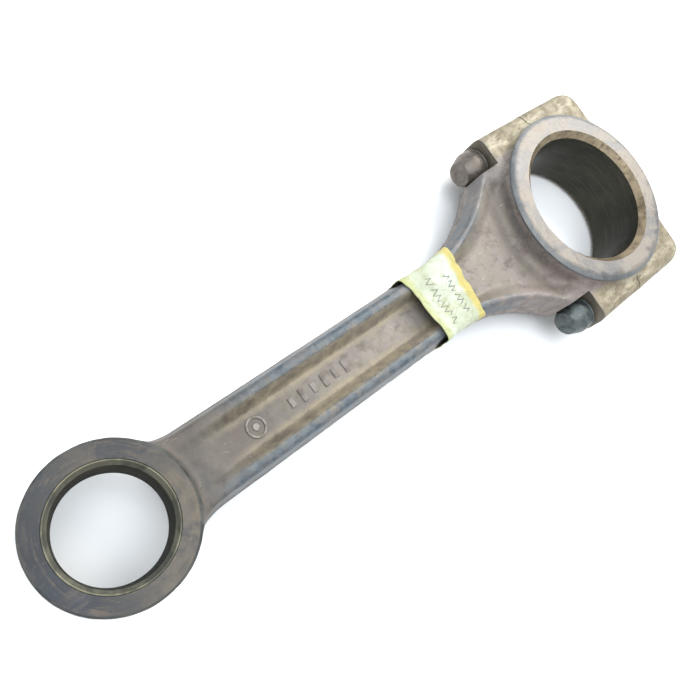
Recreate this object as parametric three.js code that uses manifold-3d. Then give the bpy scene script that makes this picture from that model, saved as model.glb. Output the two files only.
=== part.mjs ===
// Connecting rod with a bolted big-end cap, bushed small end and a paper tag taped round the shank.
// Millimetres. +X runs from the small end to the big end, +Y across the rod, +Z along both bores.
// The rod lies flat: the origin is under the middle of its outer box, on the plane it lies on.
import * as THREE from "three";
import { mergeVertices } from "three/addons/utils/BufferGeometryUtils.js";
import Module from "manifold-3d";

const wasm = await Module();
wasm.setup();

// Driving dimensions
const CENTRE_DISTANCE = 300;
const BIG_WIDTH = 42;
const BIG_COLLAR_R = 50.7;
const BIG_BORE_R = 37;
const BIG_BORE_CHAMFER = 3;
const COLLAR_EDGE = 1;
const SMALL_WIDTH = 30;
const SMALL_R = 32.9;
const SMALL_BORE_R = 25.3;
const SMALL_EDGE = 0.8;
const BUSH_OUTER_R = 25;
const BUSH_INNER_R = 22.7;
const BUSH_LEAD_DEPTH = 4.5;
const BUSH_LEAD_R = 24.2;
const OIL_HOLE_R = 2.5;

const FLANGE_HALF_HEIGHT = 11.8;
const FLANGE_DRAFT = 2.6;
const SHANK_HALF_WIDTH = 18.4;
const SMALL_FILLET_R = 30;
const FLARE_START = 185;
const FLARE_R = 98;
const FLANGE_TOP_INSET = 6;
const WEB_FLOOR_INSET = 9.4;
const WEB_FLOOR = 4.5;
const WEB_FLOOR_AT_COLLAR = 8;

const BOLT_Y = 50.3;
const EAR_OUTER_Y = 61.5;
const EAR_HALF_HEIGHT = 14.5;
const EAR_START = 250;
const EAR_RAMP = 7;
const EAR_END = 346;
const EAR_END_R = 12;
const SEAT_X = 264.5;
const SIDE_WALL_Y = 42.3;
const NUT_SEAT_X = 342;
const NUT_POCKET_R = 10.8;
const CAP_RIB_R = 58;
const CAP_RIB_HALF_WIDTH = 12;

const BOLT_R = 6;
const BOLT_HOLE_R = 6.3;
const HEAD_R = 9.9;
const HEAD_LENGTH = 13.4;
const HEAD_CONE_LENGTH = 6.2;
const HEAD_TIP_R = 6.6;
const HEAD_FLAT_GAP = 0.4;
const NUT_ACROSS_FLATS = 17;
const NUT_HEIGHT = 9.2;
const BOLT_TIP_PROUD = 2;

const DOWEL_OUTER_R = 8;
const DOWEL_HALF_LENGTH = 6;
const DOWEL_RADIAL_GAP = 0.1;
const DOWEL_END_GAP = 0.4;

const TANG_WIDTH = 8;
const TANG_DEPTH = 2;
const TANG_LENGTH = 7;

const TAG_START = 170;
const TAG_START_SLANT = 2;
const TAG_END = 203;
const TAG_END_SLANT = 2;
const TAG_THICKNESS = 0.5;

const GAP = 0.3;
const ROUND = 72;

// Distances along the rod below are measured from the small-end centre.
const SMALL_X = -(CENTRE_DISTANCE + CAP_RIB_R - SMALL_R) / 2;
const MID_Z = BIG_WIDTH / 2;

// ---- solids -------------------------------------------------------------------------------

function solidOf(geometry) {
  geometry.deleteAttribute("normal");
  geometry.deleteAttribute("uv");
  const merged = mergeVertices(geometry, 1e-4);
  return new wasm.Manifold(new wasm.Mesh({
    numProp: 3,
    vertProperties: new Float32Array(merged.attributes.position.array),
    triVerts: new Uint32Array(merged.index.array),
  }));
}

function geometryOf(solid) {
  const mesh = solid.getMesh();
  const geometry = new THREE.BufferGeometry();
  geometry.setAttribute("position", new THREE.BufferAttribute(mesh.vertProperties, 3));
  geometry.setIndex(new THREE.BufferAttribute(mesh.triVerts, 1));
  geometry.computeVertexNormals();
  return geometry;
}

// A turned solid along +Z: profile is a closed list of [radius, z].
function turned(profile, segments = ROUND) {
  const points = profile.map(([r, z]) => new THREE.Vector2(r, z));
  const geometry = new THREE.LatheGeometry(points, segments);
  geometry.rotateX(Math.PI / 2);
  return geometry;
}

// A disc or ring standing on its axis at x, y, with both outer edges broken by edge.
function discSolid(x, y, radius, halfHeight, edge = 0) {
  const profile = [
    [0, -halfHeight],
    [radius - edge, -halfHeight],
    [radius, -halfHeight + edge],
    [radius, halfHeight - edge],
    [radius - edge, halfHeight],
    [0, halfHeight],
  ].filter(([r, z], i, all) => i === 0 || r !== all[i - 1][0] || z !== all[i - 1][1]);
  const geometry = turned(profile);
  geometry.translate(x, y, 0);
  return solidOf(geometry);
}

function cylinderAlongX(startX, endX, y, radius, segments = 36) {
  const geometry = new THREE.CylinderGeometry(radius, radius, endX - startX, segments);
  geometry.rotateZ(Math.PI / 2);
  geometry.translate((startX + endX) / 2, y, 0);
  return solidOf(geometry);
}

function boxSolid(low, high) {
  const geometry = new THREE.BoxGeometry(high[0] - low[0], high[1] - low[1], high[2] - low[2]);
  geometry.translate((low[0] + high[0]) / 2, (low[1] + high[1]) / 2, (low[2] + high[2]) / 2);
  return solidOf(geometry);
}

// Joins rings of equal length into one closed body; each ring is a list of [x, y, z].
function loftGeometry(rings, closed = false) {
  const count = rings[0].length;
  const positions = rings.flat(2);
  const index = [];
  const last = closed ? rings.length : rings.length - 1;
  for (let i = 0; i < last; i++) {
    const here = i * count;
    const next = ((i + 1) % rings.length) * count;
    for (let j = 0; j < count; j++) {
      const k = (j + 1) % count;
      index.push(here + j, here + k, next + k, here + j, next + k, next + j);
    }
  }
  if (!closed) {
    capRing(rings[0], 0, index, true);
    capRing(rings[rings.length - 1], (rings.length - 1) * count, index, false);
  }
  const geometry = new THREE.BufferGeometry();
  geometry.setAttribute("position", new THREE.Float32BufferAttribute(positions, 3));
  geometry.setIndex(index);
  return geometry;
}

// Closes one end ring with triangles found in its own plane.
function capRing(ring, offset, index, flip) {
  const spread = [0, 1, 2].map((axis) => {
    const values = ring.map((point) => point[axis]);
    return Math.max(...values) - Math.min(...values);
  });
  const [u, v] = spread[2] < 1e-6 ? [0, 1] : [1, 2];
  const flat = ring.map((point) => new THREE.Vector2(point[u], point[v]));
  const clockwise = THREE.ShapeUtils.isClockWise(flat);
  for (const [a, b, c] of THREE.ShapeUtils.triangulateShape(flat, [])) {
    const keep = flip !== clockwise;
    index.push(offset + a, offset + (keep ? c : b), offset + (keep ? b : c));
  }
}

// ---- outline of the forging ------------------------------------------------------------------

// Half width of the forging across Y at a distance x from the small-end centre.
function halfWidth(x) {
  if (x > FLARE_START) {
    const along = Math.min(x - FLARE_START, FLARE_R * 0.98);
    return Math.min(SHANK_HALF_WIDTH + FLARE_R - Math.sqrt(FLARE_R ** 2 - along ** 2), BOLT_Y);
  }
  const centreY = SHANK_HALF_WIDTH + SMALL_FILLET_R;
  const centreX = Math.sqrt((SMALL_R + SMALL_FILLET_R) ** 2 - centreY ** 2);
  if (x < centreX) {
    return centreY - Math.sqrt(SMALL_FILLET_R ** 2 - (centreX - x) ** 2);
  }
  return SHANK_HALF_WIDTH;
}

const OUTLINE_STATIONS = [
  22, 25, 29, 33, 38, 44, 115, FLARE_START, 197, 208, 218, 227, 235, 242, 248, 253, CENTRE_DISTANCE - 4,
];

// The forging between the two ends, drafted from its parting plane at mid height to both faces.
function forgedBeam() {
  const outline = (inset) => {
    const upper = OUTLINE_STATIONS.map((x) => [x, halfWidth(x) - inset * (x < 240 ? 1 : 0.4)]);
    const lower = [...upper].reverse().map(([x, y]) => [x, -y]);
    return [...upper, ...lower].reverse();
  };
  const level = (z, inset) => outline(inset).map(([x, y]) => [x, y, z]);
  return solidOf(loftGeometry([
    level(-FLANGE_HALF_HEIGHT, FLANGE_DRAFT),
    level(0, 0),
    level(FLANGE_HALF_HEIGHT, FLANGE_DRAFT),
  ]));
}

const WEB_STATIONS = [46, 60, 76, 100, 130, 160, 185, 200, 212, 224, 234, 243, 250, 258, 266];

// The recess on one face that leaves the web between the two flanges.
function webRecess(side) {
  const top = EAR_HALF_HEIGHT + 1;
  const rings = WEB_STATIONS.map((x) => {
    const runOut = Math.min((x - WEB_STATIONS[0]) / 30, 1);
    const rise = Math.min(Math.max((x - 200) / 40, 0), 1);
    const deep = WEB_FLOOR + (WEB_FLOOR_AT_COLLAR - WEB_FLOOR) * rise;
    const floor = deep + (FLANGE_HALF_HEIGHT - deep) * (1 - runOut) ** 2;
    const open = Math.min(halfWidth(x), SIDE_WALL_Y) - FLANGE_TOP_INSET;
    const slope = (WEB_FLOOR_INSET - FLANGE_TOP_INSET) / (FLANGE_HALF_HEIGHT - WEB_FLOOR);
    const inner = open - slope * (FLANGE_HALF_HEIGHT - floor);
    const outer = open + slope * (top - FLANGE_HALF_HEIGHT);
    const ring = [
      [x, -outer, side * top],
      [x, outer, side * top],
      [x, inner, side * floor],
      [x, -inner, side * floor],
    ];
    return side > 0 ? ring.reverse() : ring;
  });
  return solidOf(loftGeometry(rings));
}

// ---- cuts shared by the rod and its cap -------------------------------------------------------

function bigBore() {
  const half = BIG_WIDTH / 2;
  const mouth = BIG_BORE_R + BIG_BORE_CHAMFER + 1;
  const profile = [
    [0, -half - 1],
    [mouth, -half - 1],
    [BIG_BORE_R, -half + BIG_BORE_CHAMFER],
    [BIG_BORE_R, half - BIG_BORE_CHAMFER],
    [mouth, half + 1],
    [0, half + 1],
  ];
  const geometry = turned(profile);
  geometry.translate(CENTRE_DISTANCE, 0, 0);
  return solidOf(geometry);
}

function boltPassage(y) {
  const hole = cylinderAlongX(200, 400, y, BOLT_HOLE_R, 32);
  const pocketHalf = DOWEL_HALF_LENGTH + DOWEL_END_GAP;
  const pocket = cylinderAlongX(
    CENTRE_DISTANCE - pocketHalf,
    CENTRE_DISTANCE + pocketHalf,
    y,
    DOWEL_OUTER_R + DOWEL_RADIAL_GAP,
    32,
  );
  return hole.add(pocket);
}

// A notch in the bore wall beside the parting plane, for a bearing shell's locating tang.
function tangNotch(side) {
  const deep = BIG_BORE_R + TANG_DEPTH;
  const low = [0, -deep, -TANG_WIDTH / 2 + 8];
  const high = [TANG_LENGTH, -BIG_BORE_R + 2, TANG_WIDTH / 2 + 8];
  const start = side < 0 ? CENTRE_DISTANCE - TANG_LENGTH : CENTRE_DISTANCE;
  return boxSolid([start + low[0], low[1], low[2]], [start + high[0], high[1], high[2]]);
}

// Ear that carries one bolt: flat faces, rounded outer edges, ramped start and round end in plan.
function boltEar(startX, endX, y, ramp) {
  const side = Math.sign(y);
  const steps = 8;
  const level = ([z, inset, rise]) => {
    const begin = startX + ramp * rise;
    const radius = EAR_END_R - inset;
    const ring = [[begin, 20], [begin, EAR_OUTER_Y - inset]];
    for (let i = 0; i <= steps; i++) {
      const angle = (1 - i / steps) * Math.PI / 2;
      ring.push([
        endX - EAR_END_R + radius * Math.cos(angle),
        EAR_OUTER_Y - EAR_END_R + radius * Math.sin(angle),
      ]);
    }
    ring.push([endX - inset, 20]);
    const placed = ring.map(([x, across]) => [x, side * across, z]);
    return side > 0 ? placed.reverse() : placed;
  };
  const half = EAR_HALF_HEIGHT;
  return solidOf(loftGeometry([
    [-half, 5.5, 1],
    [1.5 - half, 2.2, 0.75],
    [5 - half, 0.4, 0.2],
    [0, 0, 0],
    [half - 5, 0.4, 0.2],
    [half - 1.5, 2.2, 0.75],
    [half, 5.5, 1],
  ].map(level)));
}

// ---- the pieces -------------------------------------------------------------------------------

function rodBody() {
  let body = forgedBeam();
  for (const y of [-BOLT_Y, BOLT_Y]) {
    const outerWall = Math.sign(y) * 80;
    const sideWall = Math.sign(y) * SIDE_WALL_Y;
    const notch = boxSolid(
      [200, Math.min(sideWall, outerWall), -30],
      [SEAT_X, Math.max(sideWall, outerWall), 30],
    );
    body = body.add(boltEar(EAR_START, CENTRE_DISTANCE + EAR_END_R + 1, y, EAR_RAMP));
    body = body.subtract(notch);
  }
  body = body.subtract(webRecess(1)).subtract(webRecess(-1));
  body = body.add(discSolid(0, 0, SMALL_R, SMALL_WIDTH / 2, SMALL_EDGE));
  body = body.add(discSolid(CENTRE_DISTANCE, 0, BIG_COLLAR_R, BIG_WIDTH / 2, COLLAR_EDGE));
  body = body.subtract(discSolid(0, 0, SMALL_BORE_R, BIG_WIDTH));
  body = body.subtract(bigBore());
  body = body.subtract(boltPassage(-BOLT_Y)).subtract(boltPassage(BOLT_Y));
  body = body.subtract(tangNotch(-1));
  body = body.subtract(cylinderAlongX(-SMALL_R - 5, 0, 0, OIL_HOLE_R, 20));
  const beyond = CENTRE_DISTANCE - GAP / 2;
  return body.subtract(boxSolid([beyond, -100, -50], [beyond + 200, 100, 50]));
}

function bigEndCap() {
  let body = discSolid(CENTRE_DISTANCE, 0, BIG_COLLAR_R, BIG_WIDTH / 2, COLLAR_EDGE);
  body = body.add(discSolid(CENTRE_DISTANCE, 0, CAP_RIB_R, CAP_RIB_HALF_WIDTH, COLLAR_EDGE * 2));
  for (const y of [-BOLT_Y, BOLT_Y]) {
    body = body.add(boltEar(CENTRE_DISTANCE, EAR_END, y, 0));
    body = body.subtract(cylinderAlongX(NUT_SEAT_X, EAR_END + 5, y, NUT_POCKET_R, 48));
    body = body.subtract(boltPassage(y));
  }
  body = body.subtract(bigBore());
  body = body.subtract(tangNotch(1));
  const before = CENTRE_DISTANCE + GAP / 2;
  return body.subtract(boxSolid([before - 200, -100, -50], [before, 100, 50]));
}

function smallEndBush() {
  const half = SMALL_WIDTH / 2 - GAP;
  const profile = [
    [BUSH_LEAD_R, half],
    [BUSH_INNER_R, half - BUSH_LEAD_DEPTH],
    [BUSH_INNER_R, -half + BUSH_LEAD_DEPTH],
    [BUSH_LEAD_R, -half],
    [BUSH_OUTER_R - 0.3, -half],
    [BUSH_OUTER_R, -half + 0.6],
    [BUSH_OUTER_R, half - 0.6],
    [BUSH_OUTER_R - 0.3, half],
    [BUSH_LEAD_R, half],
  ];
  const shell = solidOf(turned(profile));
  return shell.subtract(cylinderAlongX(-SMALL_R - 5, 0, 0, OIL_HOLE_R, 20));
}

// Bolt: tapered round head with one flat beside the rod's neck, plain shank, chamfered tip.
function rodBolt(y) {
  const seat = SEAT_X - GAP;
  const headEnd = seat - HEAD_LENGTH;
  const tip = NUT_SEAT_X + GAP + NUT_HEIGHT + BOLT_TIP_PROUD;
  const profile = [
    [0, headEnd],
    [HEAD_TIP_R, headEnd],
    [HEAD_R - 0.4, headEnd + HEAD_CONE_LENGTH],
    [HEAD_R, headEnd + HEAD_CONE_LENGTH + 1.5],
    [HEAD_R, seat - 0.6],
    [HEAD_R - 0.6, seat],
    [BOLT_R, seat],
    [BOLT_R, tip - 1],
    [BOLT_R - 1, tip],
    [0, tip],
  ];
  const geometry = turned(profile, 40);
  geometry.rotateY(Math.PI / 2);
  geometry.translate(0, y, 0);
  const flatY = Math.sign(y) * (SIDE_WALL_Y + HEAD_FLAT_GAP);
  const inboard = boxSolid(
    [headEnd - 5, Math.min(0, flatY), -20],
    [seat + 0.01, Math.max(0, flatY), 20],
  );
  return solidOf(geometry).subtract(inboard);
}

// Hexagonal nut with both faces chamfered and a plain bore clear of the bolt.
function capNut(y) {
  const cornerR = NUT_ACROSS_FLATS / Math.sqrt(3);
  const start = NUT_SEAT_X + GAP;
  const hex = cylinderAlongX(start, start + NUT_HEIGHT, y, cornerR, 6);
  const chamfer = 1.3;
  const profile = [
    [0, start],
    [cornerR - chamfer, start],
    [cornerR, start + chamfer],
    [cornerR, start + NUT_HEIGHT - chamfer],
    [cornerR - chamfer, start + NUT_HEIGHT],
    [0, start + NUT_HEIGHT],
  ];
  const barrel = turned(profile, 48);
  barrel.rotateY(Math.PI / 2);
  barrel.translate(0, y, 0);
  return hex.intersect(solidOf(barrel)).subtract(cylinderAlongX(start - 5, start + 20, y, BOLT_HOLE_R, 32));
}

function dowelSleeve(y) {
  const profile = [
    [BOLT_HOLE_R, -DOWEL_HALF_LENGTH],
    [DOWEL_OUTER_R - 0.4, -DOWEL_HALF_LENGTH],
    [DOWEL_OUTER_R, -DOWEL_HALF_LENGTH + 0.4],
    [DOWEL_OUTER_R, DOWEL_HALF_LENGTH - 0.4],
    [DOWEL_OUTER_R - 0.4, DOWEL_HALF_LENGTH],
    [BOLT_HOLE_R, DOWEL_HALF_LENGTH],
    [BOLT_HOLE_R, -DOWEL_HALF_LENGTH],
  ];
  const geometry = turned(profile, 32);
  geometry.rotateY(Math.PI / 2);
  geometry.translate(CENTRE_DISTANCE, y, 0);
  return solidOf(geometry);
}

// Paper tag wrapped once round the shank as a taut band with rounded corners.
function paperTag() {
  const cornerSteps = 4;
  const steps = 4;
  const sectionRing = (t, grow) => {
    const ring = [];
    for (const [sy, sz, from] of [[1, 1, 0], [-1, 1, 1], [-1, -1, 2], [1, -1, 3]]) {
      for (let i = 0; i <= cornerSteps; i++) {
        const angle = (from + i / cornerSteps) * Math.PI / 2;
        const radius = 3 + grow;
        const start = TAG_START - sy * TAG_START_SLANT;
        const end = TAG_END + sy * TAG_END_SLANT;
        const x = start + (end - start) * t;
        const reach = halfWidth(x) + GAP - 3;
        const height = FLANGE_HALF_HEIGHT + GAP - 3;
        ring.push([x, sy * reach + radius * Math.cos(angle), sz * height + radius * Math.sin(angle)]);
      }
    }
    return ring;
  };
  const rings = [];
  for (let i = 0; i <= steps; i++) {
    rings.push(sectionRing(i / steps, TAG_THICKNESS));
  }
  for (let i = steps; i >= 0; i--) {
    rings.push(sectionRing(i / steps, 0));
  }
  return solidOf(loftGeometry(rings, true));
}

// ---- assembly ---------------------------------------------------------------------------------

const FINISHES = {
  forged_steel: { color: 0x7d7069, roughness: 0.65, metalness: 0.6 },
  cap_steel: { color: 0x867a6c, roughness: 0.6, metalness: 0.6 },
  bronze: { color: 0x8a7d52, roughness: 0.45, metalness: 0.9 },
  bolt_steel: { color: 0x555a5e, roughness: 0.5, metalness: 0.8 },
  bright_steel: { color: 0x9a9a98, roughness: 0.35, metalness: 0.9 },
  paper: { color: 0xded9b4, roughness: 0.85, metalness: 0 },
};

const connectingRod = new THREE.Group();
connectingRod.position.set(SMALL_X, 0, MID_Z);

function addPiece(name, solid, finish) {
  const mesh = new THREE.Mesh(geometryOf(solid), new THREE.MeshStandardMaterial(FINISHES[finish]));
  mesh.name = name;
  connectingRod.add(mesh);
}

addPiece("rod_body", rodBody(), "forged_steel");
addPiece("big_end_cap", bigEndCap(), "cap_steel");
addPiece("small_end_bush", smallEndBush(), "bronze");
for (const [side, y] of [["left", BOLT_Y], ["right", -BOLT_Y]]) {
  addPiece(`rod_bolt_${side}`, rodBolt(y), "bolt_steel");
  addPiece(`cap_nut_${side}`, capNut(y), "bolt_steel");
  addPiece(`dowel_sleeve_${side}`, dowelSleeve(y), "bright_steel");
}
addPiece("paper_tag", paperTag(), "paper");

export default connectingRod;
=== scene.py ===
"""Looks of a used connecting rod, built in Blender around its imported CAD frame.

Shapes are written in millimetres from the small-end centre (x along the rod, y across it,
z from mid thickness), and placed in the frame by to_frame().
"""
import math

import bmesh
import bpy
import numpy as np
import openvdb
from mathutils import Matrix, Vector, noise


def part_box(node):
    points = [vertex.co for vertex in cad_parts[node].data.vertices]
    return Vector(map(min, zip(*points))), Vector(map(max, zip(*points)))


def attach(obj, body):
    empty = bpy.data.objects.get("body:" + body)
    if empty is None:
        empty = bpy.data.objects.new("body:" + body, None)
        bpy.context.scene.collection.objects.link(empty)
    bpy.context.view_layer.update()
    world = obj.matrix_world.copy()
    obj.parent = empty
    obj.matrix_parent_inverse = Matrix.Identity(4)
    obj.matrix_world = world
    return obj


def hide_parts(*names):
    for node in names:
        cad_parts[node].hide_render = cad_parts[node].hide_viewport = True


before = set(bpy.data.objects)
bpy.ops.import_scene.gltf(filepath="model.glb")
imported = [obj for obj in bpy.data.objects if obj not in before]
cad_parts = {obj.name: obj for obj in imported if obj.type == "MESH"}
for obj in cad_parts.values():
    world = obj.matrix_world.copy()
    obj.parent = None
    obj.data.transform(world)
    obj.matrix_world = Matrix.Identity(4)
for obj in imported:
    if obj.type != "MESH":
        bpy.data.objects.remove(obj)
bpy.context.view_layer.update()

MM = 0.001

# ---- places taken from the frame ----


def box_mm(node):
    """Lowest and highest corner of a CAD node, in millimetres from the small-end centre."""
    low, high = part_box(node)
    return (low - ORIGIN) / MM, (high - ORIGIN) / MM


bush_low, bush_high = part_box("small_end_bush")
ORIGIN = (bush_low + bush_high) / 2
ORIGIN.y = 0

ROD_LOW, ROD_HIGH = box_mm("rod_body")
CAP_LOW, CAP_HIGH = box_mm("big_end_cap")
DOWEL_LOW, DOWEL_HIGH = box_mm("dowel_sleeve_left")
BOLT_LOW, BOLT_HIGH = box_mm("rod_bolt_left")
NUT_LOW, NUT_HIGH = box_mm("cap_nut_left")

BIG_X = (DOWEL_LOW.x + DOWEL_HIGH.x) / 2
BOLT_Y = (DOWEL_LOW.y + DOWEL_HIGH.y) / 2
SMALL_R = -ROD_LOW.x
BIG_HALF = ROD_HIGH.z
BUSH_HALF = (bush_high.z - bush_low.z) / 2 / MM
CAP_RIB_R = CAP_HIGH.x - BIG_X
EAR_OUTER = CAP_HIGH.y
TAG_LOW = box_mm("paper_tag")[0]

# ---- sizes of the pieces ----

COLLAR_R = 50.7
SMALL_HALF = 15.0
BIG_BORE_R = 37.0
BIG_CHAMFER = 3.0
SMALL_BORE_R = 25.05
BUSH_OUTER_R = 25.0
BUSH_BORE_R = 22.7
BUSH_LEAD_R = 24.2
BUSH_LEAD = 4.5
OIL_HOLE_R = 2.5

FLANGE_TOP = 11.8
DRAFT = 0.2
SHANK_HALF = 18.4
SMALL_FILLET_R = 30.0
FLARE_START = 185.0
FLARE_R = 98.0
FLANGE_INSET = 6.0
WEB_WALL = 5.4
WEB_FLOOR = 4.5
NECK_FLOOR = 8.0

EAR_TOP = 14.5
EAR_START = 254.0
EAR_END = 346.0
EAR_END_R = 12.0
SEAT_X = 264.5
SIDE_WALL_Y = 42.3
NUT_SEAT_X = 342.0
NUT_POCKET_R = 10.8
CAP_RIB_HALF = 12.0
PART_GAP = 0.012

HEAD_R = 9.9
BOLT_R = 6.0
BOLT_HOLE_R = 6.3
NUT_BORE_R = 6.05
THREAD_PITCH = 1.5
THREAD_DEPTH = 0.85
THREAD_LENGTH = 36.0

TAG_TURNS = 1.16
TAG_LAP_SIDE = 0.5
TAG_WIDTH = 31.2

MARK_X = 69.7
BARS_X = 90.0
BAR_STEP = 6.4
BAR_COUNT = 6

# Coordinates clear of the metal, where cutters begin and end.
BEHIND_X = -60.0
BESIDE_X = 200.0
CLEAR_X = 400.0
CLEAR_Y = 90.0
CLEAR_Z = 40.0

VOXEL = 0.7


def to_frame(points):
    """Millimetres from the small-end centre into the frame's metres."""
    return np.asarray(points, float) * MM + np.array(ORIGIN)


# ---- distance fields ----


def smooth_max(a, b, blend):
    overlap = np.maximum(blend - np.abs(a - b), 0) / blend
    return np.maximum(a, b) + overlap * overlap * blend / 4


def smooth_min(a, b, blend):
    return -smooth_max(-a, -b, blend)


def ease(t):
    t = np.clip(t, 0, 1)
    return t * t * (3 - 2 * t)


def half_width(x):
    """Half width of the forging across y at its parting plane."""
    along = np.clip(x - FLARE_START, 0, FLARE_R * 0.98)
    flare = SHANK_HALF + FLARE_R - np.sqrt(FLARE_R**2 - along**2)
    centre_y = SHANK_HALF + SMALL_FILLET_R
    centre_x = math.sqrt((SMALL_R + SMALL_FILLET_R) ** 2 - centre_y**2)
    meet_x = centre_x * SMALL_R / (SMALL_R + SMALL_FILLET_R)
    back = np.clip(centre_x - x, 0, centre_x - meet_x)
    root = centre_y - np.sqrt(SMALL_FILLET_R**2 - back**2)
    root = np.where(x < meet_x, np.sqrt(SMALL_R**2 - np.clip(x, 0, meet_x) ** 2) - 0.4, root)
    return np.where(x < centre_x, root, np.minimum(flare, BOLT_Y))


def web_floor(x):
    """Height of the web's face above mid thickness: it runs out at the small end."""
    neck = ease((x - 205) / 40)
    deep = WEB_FLOOR + (NECK_FLOOR - WEB_FLOOR) * neck
    run_out = ease((80 - x) / 42) ** 1.3
    return deep + (FLANGE_TOP - 0.6 - deep) * run_out


def beam_top(x, y):
    """Height of the I-beam's face: flange tops with the web sunk between them."""
    neck = ease((x - 200) / 30)
    inner = np.minimum(half_width(x), SIDE_WALL_Y + 1.5) - FLANGE_INSET + 1.5 * neck
    sunk = ease((inner - np.abs(y)) / (WEB_WALL + 6 * neck))
    crown = 0.25 * np.clip((np.abs(y) - inner) / 5.0, 0, 1) ** 2
    return FLANGE_TOP - crown - sunk * (FLANGE_TOP - web_floor(x))


def ear_field(x, y, z):
    """The two bolt ears: flat faces with soft outer edges, round in plan at the cap's end."""
    side = np.abs(y) - EAR_OUTER + 0.05 * np.abs(z)
    section = round_corner(side, np.abs(z) - EAR_TOP, 6.5)
    end = round_corner(side, x - EAR_END, EAR_END_R)
    return np.maximum(smooth_max(section, end, 3), 20 - np.abs(y))


def round_corner(a, b, radius):
    """Joins two half spaces with a true round edge of that radius."""
    a, b = a + radius, b + radius
    return np.hypot(np.maximum(a, 0), np.maximum(b, 0)) + np.minimum(np.maximum(a, b), 0) - radius


def rod_field(x, y, z):
    """Negative inside the rod's forging, before it is machined."""
    step = 0.5
    width = half_width(x)
    slope = (half_width(x + step) - half_width(x - step)) / (2 * step)
    flash = 0.3 * np.exp(-((z / 0.8) ** 2))
    side = (np.abs(y) - width) / np.sqrt(1 + slope**2) + DRAFT * np.abs(z) - flash
    face = np.abs(z) - beam_top(x, y)
    beam = smooth_max(side, face, 2.4)
    beam = np.maximum(beam, 10 - x)
    start = EAR_START + 7 * ease((np.abs(z) - 9) / 6)
    ear = smooth_max(ear_field(x, y, z), (start - x) * 0.8, 4)
    ear = smooth_max(ear, neck_hollow(x, y, z), 3)
    ring = np.maximum(np.hypot(x, y) - SMALL_R, np.abs(z) - SMALL_HALF - 1.5)
    collar = np.maximum(np.hypot(x - BIG_X, y) - COLLAR_R, np.abs(z) - BIG_HALF - 1.5)
    body = smooth_min(beam, ear, 3)
    body = smooth_min(body, ring, 5)
    body = smooth_min(body, collar, 5)
    return np.maximum(body, x - BIG_X - 2)


def neck_hollow(x, y, z):
    """Above 0 in the hollow between the ears' inner ends, over the neck's web."""
    inner = np.minimum(half_width(x), SIDE_WALL_Y) - FLANGE_INSET
    wall = (inner - np.abs(y)) * 0.8 - 1.2
    return np.minimum(wall, np.abs(z) - NECK_FLOOR)


def cap_field(x, y, z):
    """Negative inside the cap's forging, before it is machined."""
    away = np.hypot(x - BIG_X, y)
    flash = 0.3 * np.exp(-((z / 0.8) ** 2))
    rim = away - CAP_RIB_R + 0.35 + 0.12 * np.abs(z) - flash
    rib = smooth_max(rim, np.abs(z) - CAP_RIB_HALF, 5)
    collar = np.maximum(away - COLLAR_R, np.abs(z) - BIG_HALF - 1.5)
    body = smooth_min(smooth_min(rib, ear_field(x, y, z), 5), collar, 5)
    return np.maximum(body, BIG_X - 2 - x)


# ---- meshes from fields ----


def field_mesh(name, field, low, high):
    """Meshes the zero surface of a field inside the box low..high, in millimetres."""
    margin = 2 * VOXEL
    axes = [np.arange(a - margin, b + margin, VOXEL, dtype=np.float32) for a, b in zip(low, high)]
    x, y, z = np.meshgrid(*axes, indexing="ij", sparse=True)
    values = np.clip(field(x, y, z), -3 * VOXEL, 3 * VOXEL).astype(np.float32)
    grid = openvdb.FloatGrid(3 * VOXEL)
    grid.copyFromArray(values)
    points, quads = grid.convertToQuads()
    points = points.astype(float) * VOXEL + np.array([a[0] for a in axes])
    points = settle(points, field)
    return new_mesh(name, to_frame(points), quads[:, ::-1])


def settle(points, field, rounds=2):
    """Moves points along the field's gradient onto its zero surface."""
    step = 0.05
    for _ in range(rounds):
        x, y, z = points.T
        value = field(x, y, z)
        gradient = np.stack([
            field(x + step, y, z) - field(x - step, y, z),
            field(x, y + step, z) - field(x, y - step, z),
            field(x, y, z + step) - field(x, y, z - step),
        ], axis=1) / (2 * step)
        length = np.maximum((gradient**2).sum(1), 0.25)
        move = gradient * (value / length)[:, None]
        points = points - np.clip(move, -0.4 * VOXEL, 0.4 * VOXEL)
    return points


def new_mesh(name, points, faces):
    mesh = bpy.data.meshes.new(name)
    mesh.from_pydata(np.asarray(points).tolist(), [], np.asarray(faces, dtype=object).tolist())
    mesh.validate()
    obj = bpy.data.objects.new(name, mesh)
    bpy.context.scene.collection.objects.link(obj)
    return obj


# ---- turned and boxed solids ----


def turned(name, profile, axis="z", centre=(0, 0, 0), segments=160, material=None):
    """A closed solid turned from [radius, height] points, about z or x, through centre."""
    on_axis = 1e-6
    ring = np.linspace(0, 2 * math.pi, segments, endpoint=False)
    points, faces, rows = [], [], []
    for radius, height in profile:
        if radius < on_axis:
            rows.append([len(points)])
            points.append((0, 0, height))
            continue
        rows.append(list(range(len(points), len(points) + segments)))
        points += [(radius * math.cos(a), radius * math.sin(a), height) for a in ring]
    closed = profile[0][0] > on_axis
    pairs = list(zip(rows, rows[1:] + rows[:1])) if closed else list(zip(rows, rows[1:]))
    for below, above in pairs:
        for i in range(segments):
            j = (i + 1) % segments
            if len(below) == 1:
                faces.append((below[0], above[j], above[i]))
            elif len(above) == 1:
                faces.append((below[i], below[j], above[0]))
            else:
                faces.append((below[i], below[j], above[j], above[i]))
    points = np.array(points, float)
    if axis == "x":
        points = points[:, [2, 0, 1]]
    if volume_of(points, faces) < 0:
        faces = [face[::-1] for face in faces]
    obj = new_mesh(name, to_frame(points + np.array(centre)), faces)
    if material:
        obj.data.materials.append(material)
    return obj


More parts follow.
